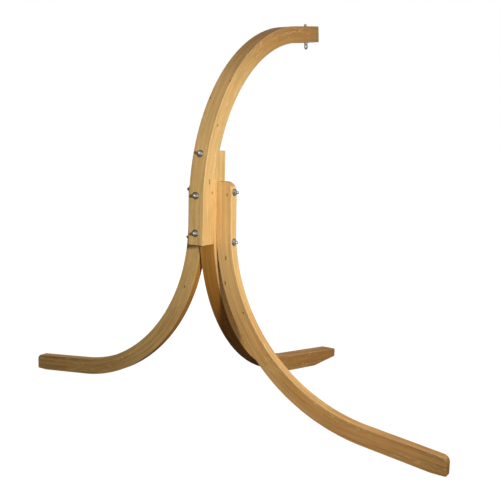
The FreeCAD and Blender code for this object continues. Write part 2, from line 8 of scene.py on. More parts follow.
# %% Load the fixed model
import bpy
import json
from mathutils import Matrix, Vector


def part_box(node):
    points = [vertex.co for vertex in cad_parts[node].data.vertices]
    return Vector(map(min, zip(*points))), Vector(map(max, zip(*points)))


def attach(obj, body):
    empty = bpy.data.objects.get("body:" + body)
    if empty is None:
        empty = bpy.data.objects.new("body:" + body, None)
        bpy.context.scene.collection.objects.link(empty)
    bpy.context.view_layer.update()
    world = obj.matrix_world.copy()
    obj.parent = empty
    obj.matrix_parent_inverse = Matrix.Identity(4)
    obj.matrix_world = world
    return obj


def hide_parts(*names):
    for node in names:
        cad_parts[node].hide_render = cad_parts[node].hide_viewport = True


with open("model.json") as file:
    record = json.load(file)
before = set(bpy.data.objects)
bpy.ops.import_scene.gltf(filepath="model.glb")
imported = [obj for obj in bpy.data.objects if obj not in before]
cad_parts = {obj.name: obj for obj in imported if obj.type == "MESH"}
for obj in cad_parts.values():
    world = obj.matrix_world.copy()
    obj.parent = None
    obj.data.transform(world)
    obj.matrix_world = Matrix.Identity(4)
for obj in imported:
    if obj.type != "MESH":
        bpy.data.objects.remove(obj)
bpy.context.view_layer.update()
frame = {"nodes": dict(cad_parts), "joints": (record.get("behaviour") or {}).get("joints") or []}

import json
import math

import bmesh
import bpy
import numpy as np
from mathutils import Matrix, Vector

# %% [markdown]
# ## The sizes that the beams share
# All four beams come off one bending form, so one outer radius serves them all.  A beam is
# described in its own upright plane: `reach` runs level from the hub outwards and `height`
# runs up.  `face` is the reach of its outer upright face, `start` the height where the bend
# begins, and `up` says whether it bends upwards, as the arm does, or down, as the legs do.
# `first` is where the beam begins, measured along it from `start`, and it ends after a
# straight `tail` or at the reach of its `toe`.  The names with `round` are round corners.

# %% Sizes and the four beams
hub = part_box("centre_leg")[0].x
beam_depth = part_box("arm")[1].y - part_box("arm")[0].y
leg_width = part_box("left_leg")[1].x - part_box("left_leg")[0].x
outer_radius = 0.955
inner_radius = outer_radius - beam_depth
edge_round = 0.002
end_crowd = 0.012
lean_begins = 0.30
lean_takes = 0.22
arm_start = 1.102
leg_start = 0.988

beams = {
    "arm": dict(number=1, face=-beam_depth, start=arm_start, up=1, bend=math.radians(83.2),
                width=beam_depth, origin=(hub, 0), heading=(1, 0), first=-0.202, tail=0.258,
                tip_round=0.008),
    "centre_leg": dict(number=2, face=0, start=leg_start, up=-1, bend=math.radians(81.6),
                       width=beam_depth, origin=(hub, 0), heading=(1, 0), first=-0.376,
                       toe=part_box("centre_leg")[1].x - hub, toe_round=0.006, scribed=True),
}
for number, side, way in ((3, "left", 1), (4, "right", -1)):
    beams[side + "_leg"] = dict(
        number=number, face=beam_depth / 2, start=leg_start, up=-1, bend=math.radians(83.3),
        width=leg_width, origin=(hub + beam_depth / 2, 0), heading=(0, way), first=-0.226,
        toe=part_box("left_leg")[1].y, toe_round=0.032, crown_round=0.052)
print("depth %.3f m, outer radius %.3f m" % (beam_depth, outer_radius))

# %% [markdown]
# ## Bending and unbending
# Think of a beam before it was bent: a straight bar with a length `along` and a `radius`,
# which is how far a point will lie from the centre of the form.  Bending is then one formula.
# It works for the upright, the bend and the straight tail alike, because the angle is held
# between nothing and the full bend.  Undoing it gives every point of a finished beam its
# place in the straight bar, and that is what the grain of the wood follows.

# %% Bend and unbend
def bend(beam, along, radius):
    """Angle = along / outer radius, held within the bend; what is left over runs on straight.
    reach = face + outer radius - radius cos(angle) + rest sin(angle);
    height = start +- (radius sin(angle) + rest cos(angle))."""
    angle = np.clip(along / outer_radius, 0, beam["bend"])
    rest = along - outer_radius * angle
    reach = beam["face"] + outer_radius - radius * np.cos(angle) + rest * np.sin(angle)
    height = beam["start"] + beam["up"] * (radius * np.sin(angle) + rest * np.cos(angle))
    return reach, height


def unbend(beam, reach, height):
    """The same the other way: the angle is the direction from the centre of the bend, held
    within the bend, and the point is split into a part along that direction and one across."""
    run = beam["face"] + outer_radius - reach
    rise = beam["up"] * (height - beam["start"])
    angle = np.clip(np.arctan2(rise, run), 0, beam["bend"])
    radius = run * np.cos(angle) + rise * np.sin(angle)
    along = outer_radius * angle + rise * np.cos(angle) - run * np.sin(angle)
    return along, radius


# %% [markdown]
# ## The outline of a cut across a beam
# Cut across, a beam is a rectangle whose corners have been eased with a router.  Each point of
# the outline is kept as two things: its place on the inner rectangle that the corners turn
# about, from -1 to 1 each way, and the direction in which the rounding pushes it out.  The
# same outline then fits any depth, width and rounding.

# %% The eased rectangle
def eased_rectangle(corner_steps=5):
    """Four quarter circles joined by straight sides; returns core (n, 2) and push (n, 2)."""
    corners = np.array([(1, 1), (-1, 1), (-1, -1), (1, -1)], float)
    across_flat = np.array([0.97, 0.75, 0.5, 0.25, 0, -0.25, -0.5, -0.75, -0.97])
    core, push = [], []
    for quarter in range(4):
        angle = np.radians(90 * quarter + np.linspace(0, 90, corner_steps + 1))
        here, there = corners[quarter], corners[(quarter + 1) % 4]
        middle, half = (here + there) / 2, (here - there) / 2
        core += [np.repeat(here[None], len(angle), 0), middle + across_flat[:, None] * half]
        push += [np.stack([np.cos(angle), np.sin(angle)], 1),
                 np.repeat([[math.cos(angle[-1]), math.sin(angle[-1])]], len(across_flat), 0)]
    return np.concatenate(core), np.concatenate(push)


outline_core, outline_push = eased_rectangle()
print("points round a beam:", len(outline_core))

# %% [markdown]
# ## Where the cuts stand
# Cuts every few millimetres keep the long curve smooth.  At both ends they crowd together on a
# quarter circle, so that the end is eased like the other edges.  Towards a toe the cuts lean
# over until they stand upright, because a toe is sawn upright and not square to the beam.

# %% Cuts along a beam
def eased(distance, size):
    """Depth of a rounded corner, a quarter circle, at a distance from where it begins:
    size - square root of (size squared - (size - distance) squared)."""
    left = np.clip(size - distance, 0, size)
    return size - np.sqrt(size ** 2 - left ** 2)


def cut_places(first, last, crowd_first, crowd_last, step=0.008):
    """Distance along the beam of each cut: even steps, but near an end crowd (1 - sin turn)
    for the long corner there and then edge round (1 - sin turn) for the eased edge."""
    turn = np.linspace(0, np.pi / 2, 22)
    fine = edge_round * (1 - np.sin(turn[::3]))
    near_first, near_last = crowd_first * (1 - np.sin(turn)), crowd_last * (1 - np.sin(turn))
    middle = np.arange(first + crowd_first + step, last - crowd_last, step)
    return np.concatenate([first + fine[::-1], first + near_first[near_first > edge_round][::-1],
                           middle, last - near_last[near_last > edge_round], last - fine])


def toe_end(beam):
    """Distance along the inner face at which it meets the upright toe."""
    turn = beam["bend"]
    rest = beam["toe"] - beam["face"] - outer_radius + inner_radius * math.cos(turn)
    return outer_radius * turn + rest / math.sin(turn)


def lean(beam, along):
    """How far each cut leans per unit of radius: nothing at first, cot(bend) at the toe."""
    share = np.clip((along - toe_end(beam) + lean_begins) / lean_takes, 0, 1)
    return share * share * (3 - 2 * share) / math.tan(beam["bend"])


# %% [markdown]
# ## How deep the beam is at each cut
# A plain beam runs from the inner to the outer radius.  Four things take timber away: the
# ground planes a leg's underside flat, the arm's curve is scribed into the back of the centre
# leg, and the top and the toe of a leg have a rounded corner.

# %% Inner and outer limit of each cut
def ground_limit(beam, along, slope):
    """Radius at which a cut of a leg's tail reaches height 0, from
    start = radius sin + (rest + slope (radius - inner)) cos."""
    turn = beam["bend"]
    rest = along - outer_radius * turn
    limit = ((beam["start"] - (rest - slope * inner_radius) * math.cos(turn))
             / (math.sin(turn) + slope * math.cos(turn)))
    return np.where(rest > 0, limit, outer_radius)


def scribe_limit(beam, along):
    """Radius of the leg's back where the arm's inner face, a circle, bends into it."""
    rise = np.clip(beam["start"] - along - arm_start, 0, inner_radius)
    return outer_radius - (inner_radius - np.sqrt(inner_radius ** 2 - rise ** 2))


def toe_drop(beam, along):
    """How much a round corner, a circle that touches the upper face and the upright toe,
    takes off the inner radius of an upright cut."""
    turn, size = beam["bend"], beam["toe_round"]
    reach, upper = bend(beam, along, inner_radius)
    centre = beam["toe"] - size
    edge = bend(beam, toe_end(beam), inner_radius)[1] + size / math.tan(turn)
    centre_height = edge - size / math.sin(turn)
    past = np.clip(reach - centre, size * math.cos(turn), size)
    corner = centre_height + np.sqrt(size ** 2 - past ** 2)
    return np.where(reach - centre > size * math.cos(turn), (upper - corner) * math.sin(turn), 0)


def limits(beam, along, slope):
    """inner = inner radius + toe's corner + top's corner; outer = the least of the outer
    radius, the ground's limit and the scribed limit."""
    inner = np.full(len(along), inner_radius)
    outer = np.full(len(along), outer_radius)
    if "toe" in beam:
        outer = np.minimum(outer, ground_limit(beam, along, slope))
        inner = inner + toe_drop(beam, along)
        inner = inner + eased(along - beam["first"], beam.get("crown_round", 0))
    if beam.get("scribed"):
        outer = np.minimum(outer, scribe_limit(beam, along))
    return inner, outer


# %% [markdown]
# ## Skinning a beam
# The eased rectangle is carried along the cuts as one whole array of points.  Neighbouring
# cuts are joined with four-sided faces, and each end is closed with a flat face.

# %% Carry the outline along the beam
def directions(beam):
    """The level direction in which a beam reaches out, and the x or y axis square to it."""
    ahead = np.array(beam["heading"], float)
    return ahead, np.abs(ahead[::-1])


def place_in_stand(beam, reach, side, height):
    """A beam's own reach, side and height as x, y and z of the stand."""
    ahead, sideways = directions(beam)
    level = np.array(beam["origin"]) + reach[..., None] * ahead + side[..., None] * sideways
    return np.concatenate([level, height[..., None]], -1)


def beam_points(beam):
    """point = middle of the cut + core x (half size - rounding) + push x rounding."""
    last = toe_end(beam) if "toe" in beam else outer_radius * beam["bend"] + beam["tail"]
    along = cut_places(beam["first"], last, beam.get("crown_round", end_crowd),
                       beam.get("toe_round", end_crowd))
    from_first, from_last = along - beam["first"], last - along
    inset = eased(from_first, edge_round) + eased(from_last, edge_round)
    inset_depth = (eased(from_first, edge_round)
                   + eased(from_last, beam.get("tip_round", edge_round)))
    slope = lean(beam, along) if "toe" in beam else np.zeros(len(along))
    inner, outer = limits(beam, along, slope)
    rounding = np.maximum(edge_round - inset, edge_round / 8)[:, None]
    half_depth = ((outer - inner) / 2 - inset_depth)[:, None]
    half_width = (beam["width"] / 2 - inset)[:, None]
    radius = ((outer + inner) / 2)[:, None] + outline_core[:, 0] * (half_depth - rounding)
    radius = radius + outline_push[:, 0] * rounding
    side = outline_core[:, 1] * (half_width - rounding) + outline_push[:, 1] * rounding
    leaning = along[:, None] + slope[:, None] * (radius - inner_radius)
    reach, height = bend(beam, leaning, radius)
    return place_in_stand(beam, reach, side, height)


def skin(name, points):
    """A closed surface over a grid of points: rows are cuts, columns go round each cut."""
    rows, columns = points.shape[:2]
    index = np.arange(rows * columns).reshape(rows, columns)
    beside = np.roll(index, -1, 1)
    walls = np.stack([index[:-1], beside[:-1], beside[1:], index[1:]], -1).reshape(-1, 4)
    mesh = bpy.data.meshes.new(name)
    mesh.from_pydata(points.reshape(-1, 3), [],
                     walls.tolist() + [index[0, ::-1].tolist(), index[-1].tolist()])
    shell = bmesh.new()
    shell.from_mesh(mesh)
    bmesh.ops.recalc_face_normals(shell, faces=shell.faces)
    shell.to_mesh(mesh)
    shell.free()
    piece = bpy.data.objects.new(name, mesh)
    bpy.context.scene.collection.objects.link(piece)
    return piece


timbers = {name: skin(name + "_timber", beam_points(beam)) for name, beam in beams.items()}
for piece in timbers.values():
    print("%-18s %6d faces" % (piece.name, len(piece.data.polygons)))

# %% [markdown]
# ## Drilling
# Every bolt passes through a real hole.  A drill is a plain cylinder, laid along the bolt it
# serves, and a Boolean takes it out of the timber.  Near the hub the arm's upper bolt leans
# back so that it is square to the bend.  A washer that would stand askew on a curve sits in a
# shallow round seat instead.

# %% Drill the beams
bore = 0.013
eye_bore = 0.0102
drill_length = 0.4
seat_width = 0.042
seat_length = 0.04
seat_radius = 0.808
bolt_lean = math.radians(15)
bend_centre = Vector((hub + inner_radius, 0, arm_start))
outwards = Vector((-math.cos(bolt_lean), 0, math.sin(bolt_lean)))
eye = frame["joints"][0]


def drill(middle, direction, width, length, sides=48):
    """A closed cylinder: a circle of points at each end of a line.  It is turned by half a
    side, so that no corner of it lands on the middle line of a beam."""
    angle = np.linspace(0, 2 * np.pi, sides, endpoint=False) + np.pi / sides
    turn = np.array(Vector((0, 0, 1)).rotation_difference(Vector(direction)).to_matrix())
    ring = np.stack([np.cos(angle), np.sin(angle), np.zeros(sides)], 1) * width / 2
    ends = np.array([(0, 0, -length / 2), (0, 0, length / 2)])
    return skin("drill", (ring[None] + ends[:, None]) @ turn.T + np.array(middle))


def cut_out(piece, drills):
    """Takes each drill's cylinder out of the piece and clears the drills away."""
    for tool in drills:
        cutter = piece.modifiers.new("drill", "BOOLEAN")
        cutter.operation, cutter.solver, cutter.object = "DIFFERENCE", "EXACT", tool
    solid = piece.evaluated_get(bpy.context.evaluated_depsgraph_get())
    finished = bpy.data.meshes.new_from_object(solid)
    piece.modifiers.clear()
    piece.data = finished
    for tool in drills:
        bpy.data.objects.remove(tool)


def middle_of(node):
    """The middle of a CAD piece's box."""
    low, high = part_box(node)
    return (low + high) / 2


def arm_drills():
    """The two level bolts, and the leaning one on a line from the centre of the arm's bend."""
    level = [drill(middle_of("arm_%s_bolt" % name), (1, 0, 0), bore, drill_length)
             for name in ("lower", "middle")]
    return level + [drill(bend_centre + outwards * inner_radius, outwards, bore, drill_length)]


def leg_drills():
    """The two rods that go right through the legs."""
    return [drill(middle_of("leg_%s_rod" % name), (0, 1, 0), bore, drill_length)
            for name in ("lower", "upper")]


def washer_seat(washer, outward):
    """A cylinder that starts at the washer's inner face and runs outward from it."""
    low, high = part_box(washer)
    outward = Vector(outward)
    half_thick = abs((high - low).dot(outward)) / 2
    start = (low + high) / 2 - outward * half_thick
    return drill(start + outward * seat_length / 2, outward, seat_width, seat_length)


cut_out(timbers["arm"], arm_drills() + [drill(eye["pos_m"], eye["axis"], eye_bore, drill_length)])
upper_seat = drill(bend_centre + outwards * (seat_radius - seat_length / 2), outwards,
                   seat_width, seat_length)
lower_seat = washer_seat("arm_lower_front_washer", (1, 0, 0))
cut_out(timbers["centre_leg"], arm_drills() + [upper_seat, lower_seat] + leg_drills())
for side, way in (("left", 1), ("right", -1)):
    seat = washer_seat("leg_lower_%s_washer" % side, (0, way, 0))
    cut_out(timbers[side + "_leg"], leg_drills() + [seat])
for piece in timbers.values():
    print("%-18s %6d faces after drilling" % (piece.name, len(piece.data.polygons)))

# %% [markdown]
# ## Giving every point its place in the straight bar
# The grain has to follow the bend, so each point of a beam stores where it was in the unbent
# bar: along the beam, out from the inner face, and sideways.  Every beam is set a long way
# from the next one along the bar, so that no two beams show the same figure.  A second number
# says how squarely the surface cuts across the fibres there, because sawn ends soak up more
# oil and look darker.

# %% Store the grain and attach the beams
beam_spacing = 20.0


def store_grain(piece, beam):
    """grain = (along + spacing x beam number, radius - inner radius, side); end_grain = the
    size of (surface direction . fibre direction), 1 on a cut end and 0 along the beam."""
    mesh = piece.data
    points = np.empty(len(mesh.vertices) * 3, np.float32)
    mesh.vertices.foreach_get("co", points)
    points = points.reshape(-1, 3).astype(float)
    level = points[:, :2] - np.array(beam["origin"])
    ahead, sideways = directions(beam)
    along, radius = unbend(beam, level @ ahead, points[:, 2])
    grain = np.stack([along + beam_spacing * beam["number"], radius - inner_radius,
                      level @ sideways], 1)
    store = mesh.attributes.new("grain", "FLOAT_VECTOR", "POINT")
    store.data.foreach_set("vector", grain.astype(np.float32).ravel())
    angle = np.clip(along / outer_radius, 0, beam["bend"])
    level_part = np.sin(angle)[:, None] * ahead
    upright_part = beam["up"] * np.cos(angle)[:, None]
    fibres = np.concatenate([level_part, upright_part], 1)
    normals = np.empty(len(mesh.vertices) * 3, np.float32)
    mesh.vertices.foreach_get("normal", normals)
    across = np.abs((normals.reshape(-1, 3) * fibres).sum(1))
    store = mesh.attributes.new("end_grain", "FLOAT", "POINT")
    store.data.foreach_set("value", across.astype(np.float32))
    mesh.shade_smooth()
    mesh.set_sharp_from_angle(angle=math.radians(40))
    return along


for name, beam in beams.items():
    piece = timbers[name]
    along = store_grain(piece, beam)
    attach(piece, "stand")
    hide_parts(name)
    print("%-18s %.2f m of timber" % (piece.name, np.ptp(along)))

# %% [markdown]
# ## Short helpers for materials
# A material is a small graph.  `add` makes a node and feeds its inputs, each from another
# node or from a plain value.  The others are the few nodes that are used most: arithmetic, a
# smooth step, a mix of two colours, soft noise, and a place stretched along the grain.

# %% Node helpers
def feed(tree, socket, value):
    """Links a socket, or sets a plain value."""
    if isinstance(value, bpy.types.NodeSocket):
        tree.links.new(value, socket)
    else:
        socket.default_value = value


def add(tree, kind, settings=(), **inputs):
    """A node with its settings and inputs; an underscore in an input's name is a space."""
    node = tree.nodes.new("ShaderNode" + kind)
    for name, value in dict(settings).items():
        setattr(node, name, value)
    for name, value in inputs.items():
        feed(tree, node.inputs[name.replace("_", " ")], value)
    return node


def sums(tree, operation, *values):
    """One step of arithmetic, named as the Math node names it."""
    node = tree.nodes.new("ShaderNodeMath")
    node.operation = operation
    for socket, value in zip(node.inputs, values):
        feed(tree, socket, value)
    return node.outputs[0]


def ease(tree, value, low, high, to_low=0.0, to_high=1.0):
    """A smooth step from to_low to to_high as value goes from low to high."""
    node = add(tree, "MapRange", {"interpolation_type": "SMOOTHSTEP"}, Value=value,
               From_Min=low, From_Max=high, To_Min=to_low, To_Max=to_high)
    return node.outputs[0]


def tint(tree, share, one, other, how="MIX"):
    """One colour mixed with another, as far as share says."""
    node = tree.nodes.new("ShaderNodeMix")
    node.data_type, node.blend_type = "RGBA", how
    for socket, value in zip((node.inputs[0], node.inputs[6], node.inputs[7]),
                             (share, one, other)):
        feed(tree, socket, value)
    return node.outputs[2]


def clouds(tree, place, scale, detail=2.0, roughness=0.5):
    """Soft noise, from 0 to 1."""
    return add(tree, "TexNoise", Vector=place, Scale=scale, Detail=detail,
               Roughness=roughness).outputs[0]


def stretch(tree, place, shape):
    """A place multiplied by three numbers."""
    node = add(tree, "VectorMath", {"operation": "MULTIPLY"})
    feed(tree, node.inputs[0], place)
    node.inputs[1].default_value = shape
    return node.outputs[0]


def new_group(name, inputs, outputs):
    """An empty node group with named sockets; each is (name, kind, default)."""
    group = bpy.data.node_groups.new(name, "ShaderNodeTree")
    for way, sockets in (("INPUT", inputs), ("OUTPUT", outputs)):
        for title, kind, *default in sockets:
            socket = group.interface.new_socket(title, in_out=way,
                                                socket_type="NodeSocket" + kind)
            if default:
                socket.default_value = default[0]
    return group, group.nodes.new("NodeGroupInput"), group.nodes.new("NodeGroupOutput")


# %% [markdown]
# ## Boards
# A bent beam is a stack of boards about a centimetre thick, seen edge-on from the side and
# flat-on from front and back.  This group takes a place in the straight bar, works out which
# board it is in, gives every board a chance number of its own, and marks the glue lines.

# %% The boards group
board_thickness = 0.010
skin_depth = 0.0005


def boards_group():
    """Board number = whole part of (depth / thickness); glue = nearness to a whole number."""
    tree, given, result = new_group(
        "boards", [("Grain", "Vector")],
        [("Chance", "Float"), ("Second Chance", "Float"), ("Glue", "Float")])
    split = add(tree, "SeparateXYZ", Vector=given.outputs["Grain"])
    beam_number = sums(tree, "FLOOR", sums(tree, "DIVIDE", sums(
        tree, "ADD", split.outputs["X"], beam_spacing / 4), beam_spacing))
    held = sums(tree, "MINIMUM", sums(tree, "MAXIMUM", split.outputs["Y"], skin_depth),
                beam_depth - skin_depth)
    count = sums(tree, "DIVIDE", held, board_thickness)
    board = add(tree, "CombineXYZ", X=sums(tree, "FLOOR", count), Y=beam_number, Z=0.0)
    chance = add(tree, "TexWhiteNoise", Vector=board.outputs[0])
    spread = add(tree, "SeparateColor", Color=chance.outputs["Color"])
    from_line = sums(tree, "ABSOLUTE", sums(tree, "SUBTRACT", count, sums(tree, "ROUND", count)))
    from_face = sums(tree, "MINIMUM", split.outputs["Y"],
                     sums(tree, "SUBTRACT", beam_depth, split.outputs["Y"]))
    inside = ease(tree, from_face, 0.003, 0.005)
    feed(tree, result.inputs["Chance"], chance.outputs["Value"])
    feed(tree, result.inputs["Second Chance"], spread.outputs["Green"])
    feed(tree, result.inputs["Glue"],
         sums(tree, "MULTIPLY", inside, ease(tree, from_line, 0.02, 0.06, 1.0, 0.0)))
    return tree


boards = boards_group()
print("group:", boards.name)

# %% [markdown]
# ## Growth rings
# Wood is solid, so its pattern is too.  Each board was sawn from somewhere beside the heart of
# a log, and the rings are circles round that heart, a few millimetres apart.  Seen from the
# side they are straight lines, seen flat-on they make long arches, and on the sawn ends they
# are arcs, all from the same formula.  Slow noise makes them wander.

# %% The growth rings group
heart_nearest = 0.02
heart_range = 0.06
ring_spacing = 0.0045
ring_wander = 0.03


def rings_group():
    """Distance from the board's own heart, plus a slow wander, divided by the ring spacing;
    within one ring pale wood darkens slowly and ends abruptly."""
    tree, given, result = new_group(
        "growth_rings",
        [("Grain", "Vector"), ("Chance", "Float"), ("Second Chance", "Float"),
         ("Spacing", "Float", ring_spacing)],
        [("Ring", "Float"), ("Fibre", "Float"), ("Tone", "Float")])
    grain = given.outputs["Grain"]
    split = add(tree, "SeparateXYZ", Vector=grain)
    heart_depth = sums(tree, "MULTIPLY_ADD", given.outputs["Chance"], heart_range,
                       heart_nearest)
    heart_side = sums(tree, "MULTIPLY_ADD", given.outputs["Second Chance"], beam_depth,
                      -beam_depth / 2)
    depth = sums(tree, "ADD", split.outputs["Y"], heart_depth)
    sideways = sums(tree, "SUBTRACT", split.outputs["Z"], heart_side)
    away = sums(tree, "SQRT", sums(tree, "ADD", sums(tree, "POWER", depth, 2.0),
                                   sums(tree, "POWER", sideways, 2.0)))
    wander = clouds(tree, stretch(tree, grain, (1.6, 9, 9)), 1.0, 3.0)
    count = sums(tree, "DIVIDE", sums(tree, "MULTIPLY_ADD", wander, ring_wander, away),
                 given.outputs["Spacing"])
    part = sums(tree, "FRACT", count)
    ring = sums(tree, "MULTIPLY", ease(tree, part, 0.25, 0.9), ease(tree, part, 0.92, 1.0, 1, 0))
    fibre = clouds(tree, stretch(tree, grain, (14, 900, 900)), 1.0, 3.0, 0.6)
    feed(tree, result.inputs["Ring"], ring)
    feed(tree, result.inputs["Fibre"], fibre)
    feed(tree, result.inputs["Tone"], clouds(tree, stretch(tree, grain, (3.5, 110, 70)), 1.0, 3.0))
    return tree


rings = rings_group()
print("group:", rings.name)

# %% [markdown]
# ## Small knots
# The boards are nearly clear, with a pin knot here and there.  Their places are listed,
# as lengths along, across and sideways in the straight bar.  A knot is a dark spot
# a few millimetres wide and longer along the grain, because the beam's face cuts it askew.

# %% The knots group
knots = [
    ("arm", 0.122, 0.048, -0.045), ("arm", 0.110, 0.046, -0.045), ("arm", 0.061, 0.019, -0.045),
    ("arm", 0.408, 0.065, -0.045), ("arm", 0.662, 0.090, -0.037), ("arm", 0.552, 0.090, 0.037),
    ("arm", 1.250, 0.030, 0.045), ("arm", 0.900, 0.0, 0.012),
    ("centre_leg", 0.350, 0.060, 0.045), ("centre_leg", 0.820, 0.0, 0.020),
    ("centre_leg", 1.150, 0.040, 0.045),
    ("right_leg", -0.162, 0.028, -0.0225), ("right_leg", 0.160, 0.042, -0.0225),
    ("right_leg", 0.296, 0.076, -0.0225), ("right_leg", 0.287, 0.073, -0.0225),
    ("right_leg", 0.168, 0.044, -0.0225), ("right_leg", 0.470, 0.023, -0.0225),
    ("right_leg", 1.050, 0.050, 0.0225),
    ("left_leg", 0.359, 0.044, -0.0225), ("left_leg", 0.900, 0.060, 0.0225),
]
knot_shape = (0.45, 1.0, 1.0)


def knots_group():
    """The shortest distance from any knot's middle, measured with the bar squeezed along."""
    tree, given, result = new_group("pin_knots", [("Grain", "Vector")],
                                    [("Knot", "Float"), ("Halo", "Float")])
    place = stretch(tree, given.outputs["Grain"], knot_shape)
    wobble = add(tree, "TexNoise", Vector=given.outputs["Grain"], Scale=300.0)
    shortest = 1.0
    for name, along, across, side in knots:
        spot = np.array((along + beam_spacing * beams[name]["number"], across, side))
        gap = add(tree, "VectorMath", {"operation": "DISTANCE"})
        feed(tree, gap.inputs[0], place)
        gap.inputs[1].default_value = spot * np.array(knot_shape)
        shortest = sums(tree, "MINIMUM", shortest, gap.outputs["Value"])
    reach = sums(tree, "MULTIPLY_ADD", wobble.outputs[0], -0.002, shortest)
    feed(tree, result.inputs["Knot"], ease(tree, reach, 0.0010, 0.0034, 1.0, 0.0))
    feed(tree, result.inputs["Halo"], ease(tree, reach, 0.001, 0.012, 1.0, 0.0))
    return tree


pin_knots = knots_group()
print("group:", pin_knots.name, "with", len(knots), "knots")

# %% [markdown]
# ## Worn edges, rubbed fibres and painted light
# The long edges are sanded round and lose their oil first; their thin pale line is partly
# that wear and partly a painted highlight.  Here and there the surface is rubbed too, and
# shows short pale flecks that run with the grain.  The backs of the legs, outside the bend,
# are darkened brown, which is painted shade.  All three come from the place in the straight
# bar, so they follow the bend.

# %% The wear and painted light group
def wear_and_painted_light_group():
    """Edge, worn oil and painted highlight: the larger of the two distances to the faces that
    meet there, if it is small.  Back, painted shade: the last millimetres of depth on the
    outside of a leg's bend.  Flecks: fine stretched noise, kept where a slow noise is high or
    Rubbed raises it, but not on a back."""
    tree, given, result = new_group(
        "wear_and_painted_light", [("Grain", "Vector"), ("Rubbed", "Float", 0.0)],
        [("Edge", "Float"), ("Flecks", "Float"), ("Back", "Float")])
    grain = given.outputs["Grain"]
    split = add(tree, "SeparateXYZ", Vector=grain)
    is_side_leg = sums(tree, "GREATER_THAN", split.outputs["X"],
                       (beams["centre_leg"]["number"] + 0.5) * beam_spacing)
    half_width = sums(tree, "MULTIPLY_ADD", is_side_leg, (leg_width - beam_depth) / 2,
                      beam_depth / 2)
    side_gap = sums(tree, "SUBTRACT", half_width, sums(tree, "ABSOLUTE", split.outputs["Z"]))
    depth_gap = sums(tree, "MINIMUM", split.outputs["Y"],
                     sums(tree, "SUBTRACT", beam_depth, split.outputs["Y"]))
    gap = sums(tree, "MAXIMUM", side_gap, depth_gap)
    streaks = clouds(tree, stretch(tree, grain, (26, 300, 300)), 1.0, 1.0)
    patches = clouds(tree, stretch(tree, grain, (3, 24, 24)), 1.0, 2.0)
    is_leg = sums(tree, "GREATER_THAN", split.outputs["X"],
                  (beams["arm"]["number"] + 0.5) * beam_spacing)
    # Painted shade mask on the outer face of each leg.
    back = sums(tree, "MULTIPLY", is_leg, ease(
        tree, split.outputs["Y"], beam_depth - 0.003, beam_depth - 0.001))
    raised = sums(tree, "MULTIPLY_ADD", given.outputs["Rubbed"], 0.05, patches)
    flecks = sums(tree, "MULTIPLY", ease(tree, streaks, 0.61, 0.68), ease(tree, raised, 0.48, 0.58))
    # Edge mask: worn oil and a painted highlight.
    feed(tree, result.inputs["Edge"], ease(tree, gap, 0.0015, 0.0055, 1.0, 0.0))
    feed(tree, result.inputs["Back"], back)
    feed(tree, result.inputs["Flecks"],
         sums(tree, "MULTIPLY", flecks, sums(tree, "SUBTRACT", 1.0, back)))
    return tree


wear_and_painted_light = wear_and_painted_light_group()
print("group:", wear_and_painted_light.name)

# %% [markdown]
# ## The timber
# Oiled softwood: honey-coloured, olive in some patches and reddish in others, with a satin
# surface.  No two beams are quite the same tone.  Towards the ground and out at the arm's tip
# each beam is darkened in its own tone, which is painted shade where the main lamp's light
# falls off.  The feet carry more painted shade just above the ground, and brown streaks run
# along the beams, strongest near the ground.  A Bump node raises the fibre and sinks the glue
# lines by a fraction of a millimetre.

# %% The timber material
pale_wood = (0.80, 0.51, 0.205, 1)
late_wood = (0.60, 0.355, 0.120, 1)
red_wood = (0.66, 0.365, 0.115, 1)
olive_wood = (0.62, 0.445, 0.155, 1)
end_wood = (0.74, 0.66, 0.56, 1)
# Painted shade on the outer backs of the legs.
back_painted_shade = (0.70, 0.53, 0.25, 1)
# Painted shade near the ground.
ground_painted_shade = (0.88, 0.81, 0.74, 1)
streak_brown = (0.70, 0.58, 0.45, 1)
# Worn edges and flecks; on the edges also a painted highlight.
worn_wood_and_highlight = (0.92, 0.68, 0.34, 1)
glue_brown = (0.36, 0.21, 0.08, 1)
knot_brown = (0.07, 0.035, 0.015, 1)
# Each beam's own tone for the painted shade towards its ends.
beam_shade_tones = [(0.73, 0.58, 0.43, 1), (0.78, 0.64, 0.48, 1), (0.82, 0.81, 0.78, 1),
             (0.85, 0.77, 0.70, 1)]


def beam_shade_tone(tree, grain):
    """Each beam's own tone for the painted shade towards its ends: constant steps along the row of
    bars.
    """
    place = add(tree, "SeparateXYZ", Vector=grain).outputs["X"]
    share = sums(tree, "DIVIDE", place, beam_spacing * (len(beam_shade_tones) + 1))
    ramp = add(tree, "ValToRGB", Fac=share)
    ramp.color_ramp.interpolation = "CONSTANT"
    stops = ramp.color_ramp.elements
    stops.remove(stops[-1])
    stops[0].color = beam_shade_tones[0]
    for number, oil in enumerate(beam_shade_tones[1:], start=2):
        stops.new((number - 0.5) / (len(beam_shade_tones) + 1)).color = oil
    return ramp.outputs["Color"]


